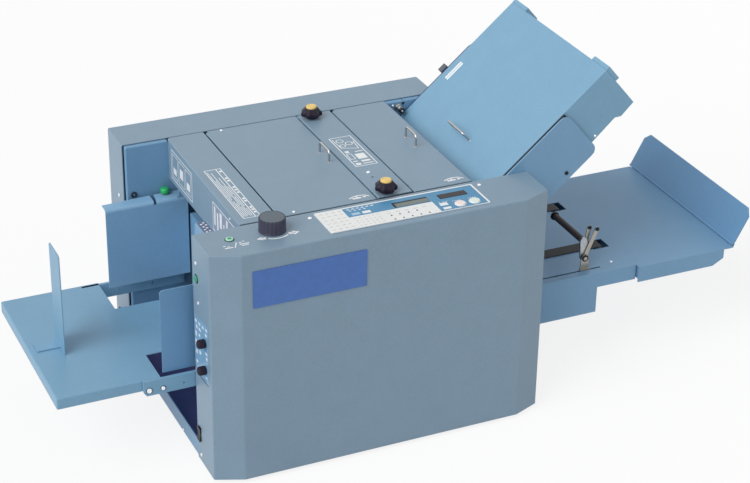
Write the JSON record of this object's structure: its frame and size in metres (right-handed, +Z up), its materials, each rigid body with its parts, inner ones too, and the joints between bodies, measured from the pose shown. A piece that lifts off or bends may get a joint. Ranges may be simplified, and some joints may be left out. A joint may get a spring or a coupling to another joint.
{
  "type": "suction feed folding machine",
  "caption": "Desk-standing paper folding machine with a lifting feed table, suction head, fold rollers, sloping buckle plates and a delivery table with a stop plate.",
  "frame": {"origin": "on the surface under the feet, below the middle of the whole machine's bounding box", "axes": "+X from the feed table to the delivery table, +Y from the control side to the rear cover, +Z up"},
  "size_m": [1.3044, 0.5346, 0.5912],
  "materials": {
    "grey_blue_paint": "fine textured semi-matt paint",
    "mid_blue_paint": "semi-matt paint",
    "pale_blue_paint": "semi-matt paint",
    "panel_blue_film": "satin membrane film on a plate",
    "badge_blue_film": "satin film on a plate",
    "bare_steel": "bare, lightly brushed",
    "chrome": "bright plated",
    "cast_alloy": "satin",
    "motor_casting": "matt painted",
    "dark_plastic": "matt moulded",
    "grey_plastic": "matt moulded",
    "green_plastic": "glossy moulded",
    "pale_plastic": "glossy moulded",
    "roller_rubber": "ground matt",
    "belt_rubber": "matt",
    "foot_rubber": "matt"
  },
  "bodies": {
    "machine": {"base_pan": "mid_blue_paint", "foot_front_left": "foot_rubber", "foot_front_right": "foot_rubber", "foot_rear_left": "foot_rubber", "foot_rear_right": "foot_rubber", "front_side_frame": "mid_blue_paint", "rear_side_frame": "mid_blue_paint", "front_cover": "grey_blue_paint", "rear_cover": "grey_blue_paint", "feed_head_cover": "grey_blue_paint", "centre_strip": "grey_blue_paint", "control_panel": "panel_blue_film", "badge_plate": "badge_blue_film", "power_inlet": "dark_plastic", "guide_shaft": "bare_steel", "feed_guide_plate": "mid_blue_paint", "suction_chamber": "cast_alloy", "suction_belt": "belt_rubber", "blower_housing": "grey_plastic", "drive_motor": "motor_casting", "lower_fold_plate": "mid_blue_paint", "bracket_front": "mid_blue_paint", "bracket_rear": "mid_blue_paint", "delivery_frame": "mid_blue_paint", "delivery_belt_front": "belt_rubber", "delivery_belt_rear": "belt_rubber"},
    "left_cover": {"left_top_cover": "grey_blue_paint", "left_cover_handle": "chrome"},
    "right_cover": {"right_top_cover": "grey_blue_paint", "right_cover_handle": "chrome"},
    "front_star_knob": {"star_knob_front": "dark_plastic"},
    "rear_star_knob": {"star_knob_rear": "dark_plastic"},
    "dial": {"dial_knob": "grey_plastic"},
    "reset_key": {"reset_button": "green_plastic"},
    "start_key": {"start_button": "pale_plastic"},
    "stop_key": {"stop_button": "pale_plastic"},
    "table_key": {"table_button": "green_plastic"},
    "upper_air_knob": {"air_knob_upper": "dark_plastic"},
    "lower_air_knob": {"air_knob_lower": "dark_plastic"},
    "switch_rocker": {"power_switch": "dark_plastic"},
    "lift_table": {"feed_table": "pale_blue_paint"},
    "sliding_end_stop": {"end_stop": "pale_blue_paint"},
    "front_guide": {"side_guide_front": "mid_blue_paint"},
    "rear_guide": {"side_guide_rear": "mid_blue_paint"},
    "guide_lock": {"guide_button": "green_plastic"},
    "feed_roller": {"suction_roller": "roller_rubber"},
    "roller_1": {"fold_roller_1": "roller_rubber"},
    "roller_2": {"fold_roller_2": "bare_steel"},
    "roller_3": {"fold_roller_3": "roller_rubber"},
    "roller_4": {"fold_roller_4": "bare_steel"},
    "upper_plate": {"upper_fold_plate": "pale_blue_paint", "fold_plate_handle": "chrome"},
    "stopper": {"fold_stopper": "bare_steel"},
    "skew_adjuster": {"skew_knob": "grey_plastic"},
    "delivery_drum": {"delivery_roller": "roller_rubber"},
    "extension": {"delivery_extension": "mid_blue_paint"},
    "delivery_stop": {"stop_plate": "mid_blue_paint"},
    "carriage": {"roller_carriage": "bare_steel"},
    "arm": {"roller_arm": "bare_steel"},
    "pressing_roller": {"press_roller": "roller_rubber"}
  },
  "joints": [
    {"name": "left_cover_hinge", "type": "hinge", "parent": "machine", "child": "left_cover", "pos_m": [-0.26634, 0, 0.4244], "axis": [0, -1, 0], "range_deg": [0, 80]},
    {"name": "right_cover_hinge", "type": "hinge", "parent": "machine", "child": "right_cover", "pos_m": [-0.02634, 0, 0.4244], "axis": [0, -1, 0], "range_deg": [0, 80]},
    {"name": "front_star_turn", "type": "hinge", "parent": "machine", "child": "front_star_knob", "pos_m": [-0.07174, -0.14875, 0.4273], "axis": [0, 0, 1], "range_deg": [0, 360]},
    {"name": "rear_star_turn", "type": "hinge", "parent": "machine", "child": "rear_star_knob", "pos_m": [-0.07174, 0.17075, 0.4273], "axis": [0, 0, 1], "range_deg": [0, 360]},
    {"name": "dial_turn", "type": "hinge", "parent": "machine", "child": "dial", "pos_m": [-0.29524, -0.20375, 0.4273], "axis": [0, 0, 1], "range_deg": [-135, 135]},
    {"name": "reset_press", "type": "slide", "parent": "machine", "child": "reset_key", "axis": [0, 0, -1], "range_m": [0, 0.002], "stiffness_N_per_m": 300},
    {"name": "start_press", "type": "slide", "parent": "machine", "child": "start_key", "axis": [0, 0, -1], "range_m": [0, 0.0015], "stiffness_N_per_m": 300},
    {"name": "stop_press", "type": "slide", "parent": "machine", "child": "stop_key", "axis": [0, 0, -1], "range_m": [0, 0.0015], "stiffness_N_per_m": 300},
    {"name": "table_key_press", "type": "slide", "parent": "machine", "child": "table_key", "axis": [1, 0, 0], "range_m": [0, 0.002], "stiffness_N_per_m": 300},
    {"name": "upper_air_turn", "type": "hinge", "parent": "machine", "child": "upper_air_knob", "pos_m": [-0.41954, -0.22175, 0.2565], "axis": [-1, 0, 0], "range_deg": [-135, 135]},
    {"name": "lower_air_turn", "type": "hinge", "parent": "machine", "child": "lower_air_knob", "pos_m": [-0.41954, -0.22075, 0.206], "axis": [-1, 0, 0], "range_deg": [-135, 135]},
    {"name": "switch_rock", "type": "hinge", "parent": "machine", "child": "switch_rocker", "pos_m": [-0.41824, -0.18125, 0.06], "axis": [0, 1, 0], "range_deg": [-8, 8]},
    {"name": "table_lift", "type": "slide", "parent": "machine", "child": "lift_table", "axis": [0, 0, 1], "range_m": [-0.1, 0.11]},
    {"name": "end_stop_slide", "type": "slide", "parent": "lift_table", "child": "sliding_end_stop", "axis": [1, 0, 0], "range_m": [-0.012, 0.12]},
    {"name": "front_guide_slide", "type": "slide", "parent": "machine", "child": "front_guide", "axis": [0, 1, 0], "range_m": [0, 0.06]},
    {"name": "rear_guide_slide", "type": "slide", "parent": "machine", "child": "rear_guide", "axis": [0, -1, 0], "range_m": [0, 0.06]},
    {"name": "guide_lock_press", "type": "slide", "parent": "rear_guide", "child": "guide_lock", "axis": [0, 0, -1], "range_m": [0, 0.003], "stiffness_N_per_m": 200},
    {"name": "feed_roller_spin", "type": "hinge", "parent": "machine", "child": "feed_roller", "pos_m": [-0.21524, 0, 0.318], "axis": [0, 1, 0], "continuous": true},
    {"name": "roller_1_spin", "type": "hinge", "parent": "machine", "child": "roller_1", "pos_m": [-0.01724, 0, 0.326], "axis": [0, 1, 0], "continuous": true},
    {"name": "roller_2_spin", "type": "hinge", "parent": "machine", "child": "roller_2", "pos_m": [-0.00207, 0, 0.2949], "axis": [0, 1, 0], "continuous": true},
    {"name": "roller_3_spin", "type": "hinge", "parent": "machine", "child": "roller_3", "pos_m": [0.03219, 0, 0.29009], "axis": [0, 1, 0], "continuous": true},
    {"name": "roller_4_spin", "type": "hinge", "parent": "machine", "child": "roller_4", "pos_m": [0.0382, 0, 0.25601], "axis": [0, 1, 0], "continuous": true},
    {"name": "upper_plate_slide", "type": "slide", "parent": "machine", "child": "upper_plate", "axis": [0.7604, 0, 0.6494], "range_m": [0, 0.12]},
    {"name": "stopper_slide", "type": "slide", "parent": "upper_plate", "child": "stopper", "axis": [0.7604, 0, 0.6494], "range_m": [-0.15, 0.1]},
    {"name": "skew_turn", "type": "hinge", "parent": "machine", "child": "skew_adjuster", "pos_m": [0.19926, 0.18025, 0.468], "axis": [0, 1, 0], "range_deg": [-180, 180]},
    {"name": "delivery_drum_spin", "type": "hinge", "parent": "machine", "child": "delivery_drum", "pos_m": [0.16576, 0, 0.1893], "axis": [0, 1, 0], "continuous": true},
    {"name": "extension_slide", "type": "slide", "parent": "machine", "child": "extension", "axis": [1, 0, 0], "range_m": [0, 0.1]},
    {"name": "stop_plate_fold", "type": "hinge", "parent": "extension", "child": "delivery_stop", "pos_m": [0.61756, 0, 0.197], "axis": [0, 1, 0], "range_deg": [-110, 0]},
    {"name": "carriage_slide", "type": "slide", "parent": "machine", "child": "carriage", "axis": [1, 0, 0], "range_m": [-0.07, 0.02]},
    {"name": "arm_swing", "type": "hinge", "parent": "carriage", "child": "arm", "pos_m": [0.31876, 0, 0.221], "axis": [0, 1, 0], "range_deg": [-60, 60]},
    {"name": "press_roller_spin", "type": "hinge", "parent": "arm", "child": "pressing_roller", "pos_m": [0.31676, 0, 0.253], "axis": [0, 1, 0], "continuous": true}
  ],
  "couplings": [
    {"joint": "roller_1_spin", "follows": "roller_3_spin", "ratio": 1},
    {"joint": "roller_2_spin", "follows": "roller_3_spin", "ratio": -1},
    {"joint": "roller_4_spin", "follows": "roller_3_spin", "ratio": -1},
    {"joint": "delivery_drum_spin", "follows": "roller_3_spin", "ratio": -1.954}
  ]
}
